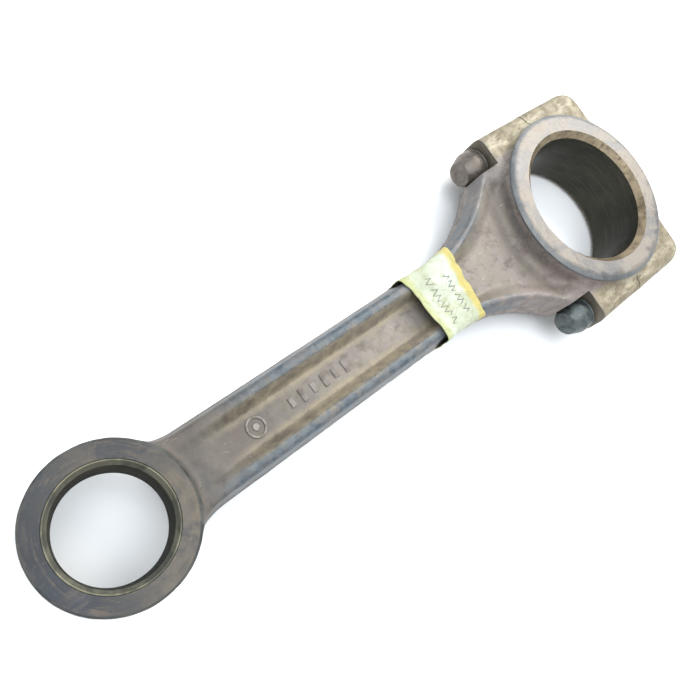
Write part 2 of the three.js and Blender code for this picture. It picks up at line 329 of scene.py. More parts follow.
def volume_of(points, faces):
    """Volume inside closed faces: negative when they face inwards."""
    total = 0.0
    for face in faces:
        for b, c in zip(face[1:], face[2:]):
            total += np.dot(points[face[0]], np.cross(points[b], points[c]))
    return total / 6


def boxed(name, low, high, material=None, cuts=0):
    """A box; cuts divides its faces, so that faces left by a cut are cut up small as well."""
    mesh = bpy.data.meshes.new(name)
    build = bmesh.new()
    bmesh.ops.create_cube(build, size=1)
    if cuts:
        bmesh.ops.subdivide_edges(build, edges=build.edges, cuts=cuts, use_grid_fill=True)
    for vert in build.verts:
        share = vert.co + Vector((0.5, 0.5, 0.5))
        place = [a + (b - a) * t for a, b, t in zip(low, high, share)]
        vert.co = Vector(to_frame(place))
    build.to_mesh(mesh)
    build.free()
    obj = bpy.data.objects.new(name, mesh)
    bpy.context.scene.collection.objects.link(obj)
    if material:
        obj.data.materials.append(material)
    return obj


def combine(target, tool, operation):
    """Cuts or joins tool into target, and removes the tool. New faces keep the tool's material."""
    for slot in tool.data.materials:
        if slot and slot.name not in [m.name for m in target.data.materials if m]:
            target.data.materials.append(slot)
    modifier = target.modifiers.new("combine", "BOOLEAN")
    modifier.operation = operation
    modifier.solver = "MANIFOLD"
    modifier.object = tool
    modifier.material_mode = "TRANSFER"
    bpy.context.view_layer.update()
    graph = bpy.context.evaluated_depsgraph_get()
    result = bpy.data.meshes.new_from_object(target.evaluated_get(graph))
    target.modifiers.clear()
    old = target.data
    target.data = result
    bpy.data.meshes.remove(old)
    bpy.data.objects.remove(tool)


def cut(target, tool):
    combine(target, tool, "DIFFERENCE")


def shade(obj, angle=32):
    for polygon in obj.data.polygons:
        polygon.use_smooth = True
    obj.data.set_sharp_from_angle(angle=math.radians(angle))


# ---- material building blocks ----


class Paint:
    """Builds one node material: a thin helper over Blender's node tree."""

    def __init__(self, name):
        self.material = bpy.data.materials.new(name)
        self.material.use_nodes = True
        self.tree = self.material.node_tree
        self.tree.nodes.clear()
        self.out = self.node("ShaderNodeOutputMaterial")
        self.shader = self.node("ShaderNodeBsdfPrincipled")
        self.link(self.shader.outputs["BSDF"], self.out.inputs["Surface"])
        self.place = self.node("ShaderNodeTexCoord").outputs["Object"]

    def node(self, kind, **settings):
        made = self.tree.nodes.new(kind)
        for key, value in settings.items():
            setattr(made, key, value)
        return made

    def link(self, source, target):
        self.tree.links.new(source, target)

    def feed(self, target, value):
        if isinstance(value, bpy.types.NodeSocket):
            self.link(value, target)
        else:
            target.default_value = value

    def math(self, operation, a, b=0.0):
        made = self.node("ShaderNodeMath", operation=operation)
        self.feed(made.inputs[0], a)
        self.feed(made.inputs[1], b)
        return made.outputs[0]

    def times(self, a, b):
        return self.math("MULTIPLY", a, b)

    def noise(self, scale, detail=6, rough=0.6, place=None, distort=0.0):
        made = self.node("ShaderNodeTexNoise")
        made.inputs["Scale"].default_value = scale
        made.inputs["Detail"].default_value = detail
        made.inputs["Roughness"].default_value = rough
        made.inputs["Distortion"].default_value = distort
        self.link(place or self.place, made.inputs["Vector"])
        return made.outputs["Fac"]

    def cells(self, scale):
        made = self.node("ShaderNodeTexVoronoi")
        made.inputs["Scale"].default_value = scale
        self.link(self.place, made.inputs["Vector"])
        return made.outputs["Distance"]

    def squeeze(self, factor):
        """Coordinates scaled per axis, for streaks."""
        made = self.node("ShaderNodeVectorMath", operation="MULTIPLY")
        self.link(self.place, made.inputs[0])
        made.inputs[1].default_value = factor
        return made.outputs[0]

    def remap(self, value, low, high, to_low=0.0, to_high=1.0):
        made = self.node("ShaderNodeMapRange", interpolation_type="SMOOTHSTEP")
        self.feed(made.inputs["Value"], value)
        made.inputs["From Min"].default_value = low
        made.inputs["From Max"].default_value = high
        made.inputs["To Min"].default_value = to_low
        made.inputs["To Max"].default_value = to_high
        return made.outputs["Result"]

    def mix(self, share, a, b):
        made = self.node("ShaderNodeMix", data_type="RGBA")
        self.feed(made.inputs["Factor"], share)
        self.feed(made.inputs[6], a)
        self.feed(made.inputs[7], b)
        return made.outputs[2]

    def over(self, base, share, strength, colour):
        """Lays a colour over base, by share times strength."""
        return self.mix(self.times(share, strength), base, colour)

    def spots(self, low, high, *shape, **settings):
        """Where noise of that shape rises from low to high, as a 0 to 1 mask."""
        return self.remap(self.noise(*shape, **settings), low, high)

    def attribute(self, name):
        return self.node("ShaderNodeAttribute", attribute_name=name).outputs["Fac"]

    def bump(self, height, strength, distance, normal=None):
        made = self.node("ShaderNodeBump")
        made.inputs["Strength"].default_value = strength
        made.inputs["Distance"].default_value = distance
        self.link(height, made.inputs["Height"])
        if normal is not None:
            self.link(normal, made.inputs["Normal"])
        return made.outputs["Normal"]

    def combined(self, x, y=None, z=None):
        """A vector from separate values; one left out is 0."""
        made = self.node("ShaderNodeCombineXYZ")
        for value, target in zip((x, y, z), made.inputs):
            if value is not None:
                self.link(value, target)
        return made.outputs[0]

    def around(self, centre):
        """Distance from a vertical axis through centre, and the offsets along x and y, in metres."""
        made = self.node("ShaderNodeVectorMath", operation="SUBTRACT")
        self.link(self.place, made.inputs[0])
        made.inputs[1].default_value = centre
        parts = self.node("ShaderNodeSeparateXYZ")
        self.link(made.outputs[0], parts.inputs[0])
        x, y = parts.outputs[0], parts.outputs[1]
        away = self.math("SQRT", self.math("ADD", self.times(x, x), self.times(y, y)))
        return away, x, y

    def finish(self, colour, rough, metal, normal=None):
        self.feed(self.shader.inputs["Base Color"], colour)
        self.feed(self.shader.inputs["Roughness"], rough)
        self.feed(self.shader.inputs["Metallic"], metal)
        if normal is not None:
            self.link(normal, self.shader.inputs["Normal"])
        return self.material


def rgb(red, green, blue):
    """An sRGB colour, 0 to 255, as Blender's linear RGBA."""
    def linear(c):
        c /= 255
        return c / 12.92 if c <= 0.04045 else ((c + 0.055) / 1.055) ** 2.4
    return (linear(red), linear(green), linear(blue), 1.0)


# ---- materials ----


def forged_steel():
    """Grey oxidised forging: rust in the hollows, blue-grey rubbed metal on the flange tops; painted shade
    darkens the creases, and a painted highlight runs along the ears' tops.
    """
    p = Paint("forged_steel")
    patch = p.noise(22, 8, 0.62, distort=0.4)
    fine = p.noise(190, 8, 0.7)
    grain = p.noise(900, 4, 0.6)
    base = p.mix(p.remap(patch, 0.35, 0.66), rgb(108, 100, 95), rgb(124, 117, 111))
    base = p.mix(p.remap(fine, 0.46, 0.62), base, rgb(93, 86, 79))
    pink = p.spots(0.44, 0.62, 13, 5, 0.6)
    base = p.over(base, pink, 0.4, rgb(125, 108, 102))
    dust = p.spots(0.55, 0.72, 60, 6, 0.7, distort=0.6)
    base = p.over(base, dust, 0.3, rgb(146, 139, 128))
    # Tan on the ears and the cap's back: partly their own colour, partly painted light.
    tan = p.mix(p.remap(fine, 0.36, 0.66), rgb(130, 120, 94), rgb(104, 94, 73))
    base = p.over(base, p.attribute("tan"), 0.85, tan)
    dim = p.times(p.attribute("dim"), p.remap(p.noise(40, 6, 0.65), 0.2, 0.6, 0.6, 1.0))
    rusty = p.mix(p.remap(fine, 0.35, 0.65), rgb(116, 109, 97), rgb(148, 141, 125))
    share = p.times(p.attribute("hollow"), p.spots(0.34, 0.66, 75, 6, 0.65))
    base = p.over(base, share, 0.55, rusty)
    worn = p.times(p.attribute("rubbed"), p.spots(0.30, 0.54, 85, 8, 0.75))
    base = p.mix(dim, base, p.mix(p.remap(fine, 0.36, 0.66), rgb(66, 61, 56), rgb(88, 81, 74)))
    # Tan on the web's side walls: partly their colour, partly painted light lifting them out of their
    # shading.
    wall = p.mix(p.remap(fine, 0.36, 0.66), rgb(120, 110, 92), rgb(150, 139, 115))
    on_wall = p.times(p.attribute("wall"), p.remap(p.noise(48, 6, 0.65), 0.3, 0.56, 0.45, 1.0))
    base = p.over(base, on_wall, 0.75, wall)
    steel = p.mix(p.remap(fine, 0.42, 0.60), rgb(70, 78, 84), rgb(94, 100, 104))
    base = p.mix(worn, base, steel)
    streaks = p.noise(1, 6, 0.7, place=p.squeeze((70, 230, 230)))
    # The edge mask lightens worn ridges and, along the ears' tops, lays a painted highlight.
    bright = p.times(p.attribute("edge"), p.remap(streaks, 0.44, 0.62))
    base = p.over(base, bright, 0.75, rgb(172, 165, 144))
    flecks = p.spots(0.63, 0.70, 1, 5, 0.75, place=p.squeeze((130, 420, 420)), distort=0.8)
    base = p.over(base, flecks, 0.5, rgb(170, 168, 154))
    # Painted shade: creases darkened towards a near-black brown.
    base = p.over(base, p.attribute("crease_shade"), 0.75, rgb(51, 46, 37))
    pits = p.remap(p.cells(420), 0.0, 0.22, 1.0, 0.0)
    pitted = p.times(pits, p.spots(0.5, 0.66, 34, 4))
    base = p.over(base, pitted, 0.5, rgb(58, 51, 44))
    rough = p.remap(fine, 0.3, 0.7, 0.48, 0.72)
    rough = p.math("SUBTRACT", rough, p.times(worn, 0.08))
    normal = p.bump(p.noise(150, 6, 0.65), 0.4, 0.0008)
    normal = p.bump(grain, 0.25, 0.0003, normal)
    normal = p.bump(p.times(pitted, -1.0), 0.5, 0.0004, normal)
    metal = p.remap(worn, 0, 1, 0.2, 0.5)
    return p.finish(base, rough, metal, normal)


def ring_face(name, centre, dark, light, stain, stain_level, smear=0.0):
    """A turned face: fine rings about centre and stains; smear sets a warm side and a dark, cold one."""
    p = Paint(name)
    away, x, y = p.around(centre)
    wander = p.times(p.noise(30, 3), 0.0006)
    rings = p.noise(1500, 3, 0.8, place=p.combined(p.math("ADD", away, wander)))
    patch = p.noise(46, 8, 0.68, distort=0.7)
    base = p.mix(p.remap(patch, 0.42, 0.60), dark, light)
    base = p.over(base, p.remap(rings, 0.40, 0.62), 0.25, light)
    stained = p.spots(stain_level, stain_level + 0.10, 30, 7, 0.72, distort=1.2)
    base = p.over(base, stained, 0.8, stain)
    tan = p.spots(0.56, 0.66, 110, 6, 0.72)
    base = p.over(base, tan, 0.4, light)
    drift = p.times(patch, 0.03)
    warm_side = p.remap(p.math("ADD", p.math("SUBTRACT", x, y), drift), 0.018, 0.055)
    blotch = p.remap(p.noise(85, 8, 0.74, distort=0.5), 0.40, 0.62, 0.25, 1.0)
    base = p.over(base, p.times(warm_side, blotch), smear * 0.75, rgb(98, 90, 78))
    cold_side = p.remap(p.math("SUBTRACT", drift, x), 0.012, 0.045)
    base = p.over(base, cold_side, smear, rgb(34, 39, 46))
    sweep = p.combined(p.times(away, 7), x, y)
    scored = p.spots(0.50, 0.62, 62, 8, 0.72, place=sweep, distort=0.3)
    base = p.over(base, p.times(scored, blotch), 0.15 + 0.35 * smear, stain)
    specks = p.spots(0.55, 0.68, 520, 4, 0.7)
    base = p.over(base, specks, 0.4, rgb(74, 67, 58))
    rough = p.remap(patch, 0.3, 0.7, 0.36, 0.56)
    normal = p.bump(rings, 0.25, 0.0002)
    normal = p.bump(p.noise(420, 6, 0.7), 0.18, 0.0003, normal)
    return p.finish(base, rough, 0.45, normal)


def bore_wall_painted_shade():
    """Wall of the big-end bore: bored metal, its dark colour painted shade."""
    p = Paint("bore_wall_painted_shade")
    streak = p.noise(1, 5, 0.6, place=p.squeeze((60, 60, 900)))
    patch = p.noise(34, 6, 0.6)
    # Painted shade: the bore walls are coloured near black.
    base = p.mix(p.remap(patch, 0.35, 0.65), rgb(46, 46, 38), rgb(67, 65, 55))
    base = p.over(base, p.remap(streak, 0.45, 0.65), 0.3, rgb(86, 82, 70))
    normal = p.bump(streak, 0.2, 0.0002)
    return p.finish(base, p.remap(patch, 0.3, 0.7, 0.3, 0.5), 0.7, normal)


def bright_chamfer():
    """Golden tan chamfer round the big-end bore."""
    p = Paint("bright_chamfer")
    patch = p.noise(120, 6, 0.7, distort=0.5)
    base = p.mix(p.remap(patch, 0.36, 0.62), rgb(107, 93, 74), rgb(143, 128, 104))
    base = p.mix(p.spots(0.5, 0.68, 340, 5, 0.7), base, rgb(81, 69, 53))
    normal = p.bump(p.noise(600, 4, 0.7), 0.2, 0.0002)
    return p.finish(base, 0.42, 0.6, normal)


def milled_face():
    """Milled seats and the parting faces: dull steel with straight tool marks."""
    p = Paint("milled_face")
    marks = p.noise(1, 4, 0.7, place=p.squeeze((300, 60, 1500)))
    patch = p.noise(60, 6, 0.65)
    base = p.mix(p.remap(patch, 0.36, 0.64), rgb(77, 70, 60), rgb(107, 100, 88))
    base = p.over(base, p.remap(marks, 0.42, 0.62), 0.3, rgb(128, 121, 107))
    normal = p.bump(marks, 0.3, 0.0002)
    return p.finish(base, 0.5, 0.5, normal)


def olive_bronze():
    """Old bearing bronze: olive patina on the lead-in edges, and painted shade, near black, down the bore.
    """
    p = Paint("olive_bronze")
    away = p.around(tuple(ORIGIN))[0]
    patch = p.noise(60, 7, 0.68, distort=0.6)
    lead = p.mix(p.remap(patch, 0.42, 0.60), rgb(74, 74, 64), rgb(112, 109, 92))
    # Painted shade: the bush's bore wall is coloured near black.
    wall = p.mix(p.remap(patch, 0.40, 0.62), rgb(18, 21, 14), rgb(38, 38, 26))
    on_lead = p.remap(away, (BUSH_BORE_R + 0.05) * MM, (BUSH_BORE_R + 0.4) * MM)
    base = p.mix(on_lead, wall, lead)
    brown = p.spots(0.5, 0.66, 24, 5, 0.6)
    base = p.over(base, brown, 0.5, rgb(65, 55, 39))
    rings = p.noise(9000, 2, 0.6, place=p.combined(away))
    turned_marks = p.noise(1, 3, 0.6, place=p.squeeze((40, 40, 2400)))
    base = p.over(base, p.remap(turned_marks, 0.5, 0.7), 0.2, rgb(104, 100, 82))
    normal = p.bump(rings, 0.2, 0.0001)
    normal = p.bump(turned_marks, 0.25, 0.0002, normal)
    normal = p.bump(p.noise(500, 5, 0.7), 0.2, 0.0003, normal)
    p.shader.inputs["Specular IOR Level"].default_value = 0.2
    rough = p.math("SUBTRACT", 0.85, p.times(on_lead, 0.4))
    return p.finish(base, rough, p.times(on_lead, 0.5), normal)


def black_bolt(name, cool, warm):
    """Blackened bolt steel with greasy patches and brighter rubbed edges."""
    p = Paint(name)
    patch = p.noise(130, 7, 0.65, distort=0.5)
    base = p.mix(p.remap(patch, 0.36, 0.64), cool, warm)
    speck = p.spots(0.52, 0.68, 700, 5, 0.7)
    base = p.over(base, speck, 0.45, rgb(130, 121, 111))
    rubbed = p.times(p.attribute("edge"), p.spots(0.4, 0.6, 300, 4, 0.7))
    base = p.mix(rubbed, base, rgb(148, 144, 137))
    normal = p.bump(p.noise(420, 6, 0.7), 0.3, 0.0003)
    return p.finish(base, p.remap(patch, 0.3, 0.7, 0.36, 0.6), 0.6, normal)


def ground_steel():
    p = Paint("ground_steel")
    marks = p.noise(1, 4, 0.6, place=p.squeeze((2600, 80, 80)))
    base = p.mix(p.remap(marks, 0.4, 0.64), rgb(132, 132, 130), rgb(167, 167, 164))
    base = p.mix(p.spots(0.56, 0.7, 90, 5), base, rgb(113, 102, 86))
    return p.finish(base, p.remap(marks, 0.3, 0.7, 0.24, 0.4), 0.9, p.bump(marks, 0.15, 0.0001))


def paper_finish():
    """Cream masking-tape tag: crepe ridges, soiled edges, a yellow strip and loose pen scribble."""
    p = Paint("paper_tag")
    uv = p.node("ShaderNodeUVMap", uv_map="strip").outputs["UV"]
    parts = p.node("ShaderNodeSeparateXYZ")
    p.link(uv, parts.inputs[0])
    along, across = parts.outputs[0], parts.outputs[1]
    patch = p.noise(70, 6, 0.6)
    base = p.mix(p.remap(patch, 0.35, 0.65), rgb(157, 162, 140), rgb(180, 187, 172))
    soil = p.spots(0.50, 0.66, 44, 7, 0.7, distort=0.8)
    base = p.over(base, soil, 0.55, rgb(150, 147, 106))
    ragged = p.times(p.noise(150, 5), 0.22)
    warm = p.remap(p.math("ADD", across, ragged), 0.92, 1.02)
    base = p.over(base, warm, 0.85, rgb(172, 156, 78))
    rim = p.remap(p.math("SUBTRACT", across, ragged), -0.06, 0.07, 1.0, 0.0)
    base = p.over(base, rim, 0.7, rgb(158, 160, 98))
    base = p.over(base, scribble(p, along, across), 0.8, rgb(84, 82, 78))
    # Painted shade along the tape's creases.
    folds = p.math("SUBTRACT", p.noise(95, 3, 0.5, distort=1.0), 0.5)
    crease = p.remap(p.math("ABSOLUTE", folds), 0.0, 0.03, 1.0, 0.0)
    base = p.over(base, crease, 0.45, rgb(132, 130, 90))
    crepe = p.noise(1, 4, 0.6, place=p.squeeze((1500, 260, 260)))
    normal = p.bump(crepe, 0.35, 0.0002)
    normal = p.bump(p.noise(150, 5, 0.6), 0.55, 0.0008, normal)
    return p.finish(base, 0.8, 0.0, normal)


def scribble(p, along, across):
    """Two rows of loose zigzag pen line, as a 0 to 1 mask: no letters or figures."""
    mask = None
    rows = ((0.34, 0.53, 0.76, 0.13, 36), (0.68, 0.56, 0.75, 0.10, 44))
    for row, start, end, height, turns in rows:
        wobble = p.times(p.math("SUBTRACT", p.noise(260, 3), 0.5), 0.55)
        phase = p.math("ADD", p.times(along, turns), wobble)
        wave = p.math("PINGPONG", phase, 0.5)
        line = p.math("ADD", p.times(wave, height * 2), row - height / 2)
        gap = p.math("ABSOLUTE", p.math("SUBTRACT", across, line))
        stroke = p.remap(gap, 0.012, 0.030, 1.0, 0.0)
        begun = p.remap(along, start, start + 0.006)
        inside = p.times(begun, p.remap(along, end - 0.006, end, 1.0, 0.0))
        pauses = p.remap(p.math("PINGPONG", p.times(along, turns / 2.6), 0.5), 0.05, 0.10)
        stroke = p.times(p.times(stroke, inside), pauses)
        mask = stroke if mask is None else p.math("MAXIMUM", mask, stroke)
    return mask


# ---- masks stored on the meshes ----


def read(items, name, width=3, kind=float):
    """One attribute of every vertex or edge, as rows of width numbers."""
    values = np.zeros(len(items) * width, kind)
    items.foreach_get(name, values)
    return values.reshape(-1, width)


def bend_of(mesh, rounds=3):
    """How sharply each vertex bends, in radians a vertex: above 0 on ridges, below 0 in hollows."""
    count = len(mesh.vertices)
    points, normals = read(mesh.vertices, "co"), read(mesh.vertices, "normal")
    a, b = read(mesh.edges, "vertices", 2, int).T
    span = points[b] - points[a]
    length = np.maximum(np.linalg.norm(span, axis=1), 1e-7)
    lean_a = -(normals[a] * span).sum(1) / length
    lean_b = (normals[b] * span).sum(1) / length
    share = np.bincount(a, minlength=count) + np.bincount(b, minlength=count)
    share = np.maximum(share, 1)
    bend = (np.bincount(a, lean_a, count) + np.bincount(b, lean_b, count)) / share
    for _ in range(rounds):
        bend = (bend + (np.bincount(a, bend[b], count) + np.bincount(b, bend[a], count)) / share) / 2
    return bend


def store(mesh, name, values):
    attribute = mesh.attributes.new(name, "FLOAT", "POINT")
    attribute.data.foreach_set("value", np.clip(values, 0, 1).astype(np.float32))


def mm_of(mesh):
    """x, y and z of every vertex, in millimetres from the small-end centre."""
    return ((read(mesh.vertices, "co") - np.array(ORIGIN)) / MM).T


def store_forged_masks(obj):
    """Where a forging is rubbed, hollow, edged, in painted crease shade, tan, wall or dim, for its
    material; edge also carries a painted highlight along the ears' tops, and tan and wall carry painted
    light.
    """
    mesh = obj.data
    x, y, z = mm_of(mesh)
    bend = bend_of(mesh)
    inner = np.minimum(half_width(x), SIDE_WALL_Y) - FLANGE_INSET
    in_beam = ease((x - 36) / 6) * (x < BIG_X - COLLAR_R + 12)
    outside_collar = ease((np.hypot(x - BIG_X, y) - COLLAR_R + 0.5) / 1.5)
    sunk = ease((inner + 0.6 - np.abs(y)) / 3) * in_beam * (np.abs(z) < EAR_TOP) * outside_collar
    outside = ease((np.abs(y) - inner - 1.5) / 2)
    top = ease((np.abs(z) - FLANGE_TOP + 1.6 + 8.5 * outside) / 1.5)
    top = top * (1 - sunk) * (np.abs(z) < EAR_TOP + 1)
    neck = ease((x - 205) / 40)
    from_ring = np.where(y > 0, ease((x - 45) / 45), ease((x - 30) / 25))
    shank = ease((268 - x) / 20) * from_ring * (1 - neck * np.where(y > 0, 0.5, 0.85))
    ring_edge = 0.5 * ease((np.abs(z) - SMALL_HALF + 2.0) / 1.2) * (x < 40)
    collar_rim = ease((np.abs(z) - BIG_HALF + 2.8) / 1.0)
    ears = ease((np.abs(y) - 43) / 4) * ease((x - 262) / 6)
    store(mesh, "rubbed", np.maximum(top * shank, np.maximum(ring_edge, collar_rim)))
    store(mesh, "hollow", np.maximum(sunk, ease((-bend - 0.02) / 0.10)))
    # Painted highlight: a bright yellowish streak along the top of each ear, stored in edge with the worn
    # ridges.
    crest_highlight = ease((np.abs(y) - 47) / 4) * ease((59 - np.abs(y)) / 4) * ears * ease((np.abs(z) - 10) / 2)
    ridge = ease((bend - 0.06) / 0.16) * (1 - 0.8 * in_beam * ease((235 - x) / 30))
    store(mesh, "edge", np.maximum(ridge, 0.85 * crest_highlight * (x < EAR_END - 4)))
    # Painted shade in the creases (where the surface bends inward), weaker on the web.
    store(mesh, "crease_shade", ease((-bend - 0.05) / 0.16) * (0.9 - 0.7 * in_beam * (np.abs(y) < inner + 2)))
    # Ears and the cap's back, whose tan is partly painted light.
    cap_back = outside_collar * (x > BIG_X + 12)
    store(mesh, "tan", np.maximum(ears, cap_back))
    # The web's side walls, whose tan is partly painted light.
    slope = ease((inner + 1.5 - np.abs(y)) / 2) * ease((np.abs(y) - inner + 8.5) / 3)
    stretch = ease((x - 42) / 40) * ease((232 - x) / 40)
    store(mesh, "wall", slope * in_beam * (np.abs(z) < EAR_TOP) * stretch)
    store(mesh, "dim", ease((125 - x) / 70))


# ---- the forged pieces ----


def roughen(obj):
    """Gives a forging its uneven scale: soft waves and fine grain, moved along the normals."""
    mesh = obj.data
    points, normals = read(mesh.vertices, "co"), read(mesh.vertices, "normal")
    height = np.array([scale_height(Vector(point)) for point in points])
    points += normals * height[:, None]
    mesh.vertices.foreach_set("co", points.ravel())
    mesh.update()


def scale_height(point):
    """Height of the forging's scale at a point in the frame, in metres."""
    wave = noise.noise(point * 55) * 0.18
    grain = noise.noise(point * 260) * 0.09
    x, y, z = (point - ORIGIN) / MM
    patch = math.exp(-(((x - 158) / 11) ** 4) - ((y - 2.5) / 5) ** 4) * (z > 0)
    return (wave + grain + 0.45 * patch * abs(noise.noise(point * 420))) * MM


def bore_cutters(wall, chamfer):
    """The housing bore and its two chamfered mouths."""
    tall = BIG_HALF + 2
    bore = [(0, -tall), (BIG_BORE_R, -tall), (BIG_BORE_R, tall), (0, tall)]
    return (
        turned("bore", bore, centre=(BIG_X, 0, 0), material=wall),
        cone_cutter("mouth_top", 1, chamfer),
        cone_cutter("mouth_bottom", -1, chamfer),
    )


def cone_cutter(name, side, material):
    wide = BIG_BORE_R + BIG_CHAMFER + 2
    narrow = BIG_BORE_R - 6
    high = side * (BIG_HALF + 2)
    low = side * (BIG_HALF - BIG_CHAMFER - 6)
    profile = [(0, low), (narrow, low), (wide, high), (0, high)]
    return turned(name, profile, centre=(BIG_X, 0, 0), material=material)


def rim_cutter(x, radius, half, wide, deep, side, material):
    """A ring that bevels the outer rim of a turned face: wide across the face, deep down the side."""
    profile = [
        (radius - 2 * wide, side * (half + deep)),
        (radius + wide, side * (half - 2 * deep)),
        (radius + wide + 3, side * (half - 2 * deep)),
        (radius + wide + 3, side * (half + deep)),
    ]
    return turned("rim", profile, centre=(x, 0, 0), material=material)


def trim_faces(obj, low_x, high_x, half, material):
    """Mills both faces of one end flat at half above and below mid thickness."""
    for side in (-1, 1):
        inner, outer = side * half, side * (half + 30)
        low = (low_x, -CLEAR_Y, min(inner, outer))
        high = (high_x, CLEAR_Y, max(inner, outer))
        cut(obj, boxed("trim", low, high, material, cuts=40))


def tang_cutter(side, material):
    """Notch for a bearing shell's tang, in the rod (side -1) or the cap (side 1)."""
    low_x, high_x = (BIG_X - 7, BIG_X + 2) if side < 0 else (BIG_X - 2, BIG_X + 7)
    low = (low_x, -BIG_BORE_R - 2, 4)
    return boxed("tang", low, (high_x, -BIG_BORE_R + 3, 12), material)


def drill(name, radius, low_x, high_x, y=0.0, segments=64, material=None):
    """A straight solid along x, turned from a rectangle: a hole's cutter, or with 6 segments a hexagon."""
    profile = [(0, low_x), (radius, low_x), (radius, high_x), (0, high_x)]
    return turned(name, profile, "x", (0, y, 0), segments, material)


def oil_hole_cutter(material=None):
    return drill("oil_hole", OIL_HOLE_R, BEHIND_X, 0, segments=48, material=material)


def bolt_hole(y, material):
    return drill("hole", BOLT_HOLE_R, BESIDE_X, CLEAR_X, y, material=material)


def dowel_pocket(y, material):
    radius = (DOWEL_HIGH.y - DOWEL_LOW.y) / 2 + 0.1
    return drill("pocket", radius, DOWEL_LOW.x - 0.4, DOWEL_HIGH.x + 0.4, y, material=material)


def half_space(x, side, material):
    """A block that fills the far side of the parting plane at x."""
    low_x, high_x = sorted((x, x + side * 90))
    low = (low_x, -CLEAR_Y, -CLEAR_Z)
    return boxed("parting", low, (high_x, CLEAR_Y, CLEAR_Z), material, cuts=40)


def machine_big_end(obj, finishes):
    """Cuts common to the rod and its cap: faces, rims, bore, bolt holes and dowel pockets."""
    trim_faces(obj, BIG_X - 70, BIG_X + 70, BIG_HALF, finishes["collar"])
    for side in (-1, 1):
        rim = rim_cutter(BIG_X, COLLAR_R, BIG_HALF, 2.2, 1.3, side, finishes["rim"])
        cut(obj, rim)
    for cutter in bore_cutters(finishes["bore"], finishes["chamfer"]):
        cut(obj, cutter)
    for y in (-BOLT_Y, BOLT_Y):
        cut(obj, bolt_hole(y, finishes["bore"]))
        cut(obj, dowel_pocket(y, finishes["bore"]))


def build_rod(finishes):
    low = (ROD_LOW.x, ROD_LOW.y, -BIG_HALF - 1)
    rod = field_mesh("rod_forging", rod_field, low, (BIG_X, ROD_HIGH.y, BIG_HALF + 1))
    rod.data.materials.append(finishes["forged"])
    roughen(rod)
    trim_faces(rod, BEHIND_X, 100, SMALL_HALF, finishes["small_face"])
    machine_big_end(rod, finishes)
    for side in (-1, 1):
        rim = rim_cutter(0, SMALL_R, SMALL_HALF, 1.0, 0.8, side, finishes["small_rim"])
        cut(rod, rim)
        low_y, high_y = sorted((side * SIDE_WALL_Y, side * 80))
        low = (BESIDE_X, low_y, -CLEAR_Z)
        cut(rod, boxed("seat", low, (SEAT_X, high_y, CLEAR_Z), finishes["milled"], cuts=30))
    small_bore = [(0, -CLEAR_Z), (SMALL_BORE_R, -CLEAR_Z), (SMALL_BORE_R, CLEAR_Z), (0, CLEAR_Z)]
    cut(rod, turned("small_bore", small_bore, material=finishes["bore"]))
    cut(rod, oil_hole_cutter(finishes["bore"]))
    cut(rod, tang_cutter(-1, finishes["milled"]))
    cut(rod, half_space(BIG_X - PART_GAP, 1, finishes["milled"]))
    store_forged_masks(rod)
    shade(rod)
    return rod


def build_cap(finishes):
    low = (BIG_X - 3, CAP_LOW.y, -BIG_HALF - 1)
    cap = field_mesh("cap_forging", cap_field, low, (CAP_HIGH.x, CAP_HIGH.y, BIG_HALF + 1))
    cap.data.materials.append(finishes["forged"])
    roughen(cap)
    machine_big_end(cap, finishes)
    for y in (-BOLT_Y, BOLT_Y):
        pocket = drill("nut_pocket", NUT_POCKET_R, NUT_SEAT_X, CLEAR_X, y, 96, finishes["milled"])
        cut(cap, pocket)
    cut(cap, tang_cutter(1, finishes["milled"]))
    cut(cap, half_space(BIG_X + PART_GAP, -1, finishes["milled"]))
    store_forged_masks(cap)
    shade(cap)
    return cap


# ---- turned pieces ----


def rounded(profile, radius, steps=5):
    """Replaces each inner corner of an open profile with a short arc of about that radius."""
    result = [profile[0]]
    for before, corner, after in zip(profile, profile[1:], profile[2:]):
        b, c, a = (Vector(point) for point in (before, corner, after))
        reach = min(radius, (b - c).length * 0.45, (a - c).length * 0.45)
        start = c + (b - c).normalized() * reach
        end = c + (a - c).normalized() * reach
        for i in range(steps + 1):
            t = i / steps
            result.append(tuple(start * (1 - t) ** 2 + c * 2 * t * (1 - t) + end * t * t))
    result.append(profile[-1])
    return result


def build_bush(material):
    """A sleeve with a long lead-in at each mouth and an oil hole at its far side."""
    outer, inner, lead = BUSH_OUTER_R, BUSH_BORE_R, BUSH_LEAD_R
    half = BUSH_HALF
    open_profile = [
        (inner, 0), (inner, -half + BUSH_LEAD), (lead, -half), (outer - 0.15, -half), (outer, -half + 0.2),
        (outer, half - 0.2), (outer - 0.15, half), (lead, half), (inner, half - BUSH_LEAD), (inner, 0.001),
    ]
    profile = rounded(open_profile, 0.35)[:-1]
    bush = turned("bush", profile, segments=200, material=material)
    cut(bush, oil_hole_cutter())
    shade(bush, 40)
    return bush


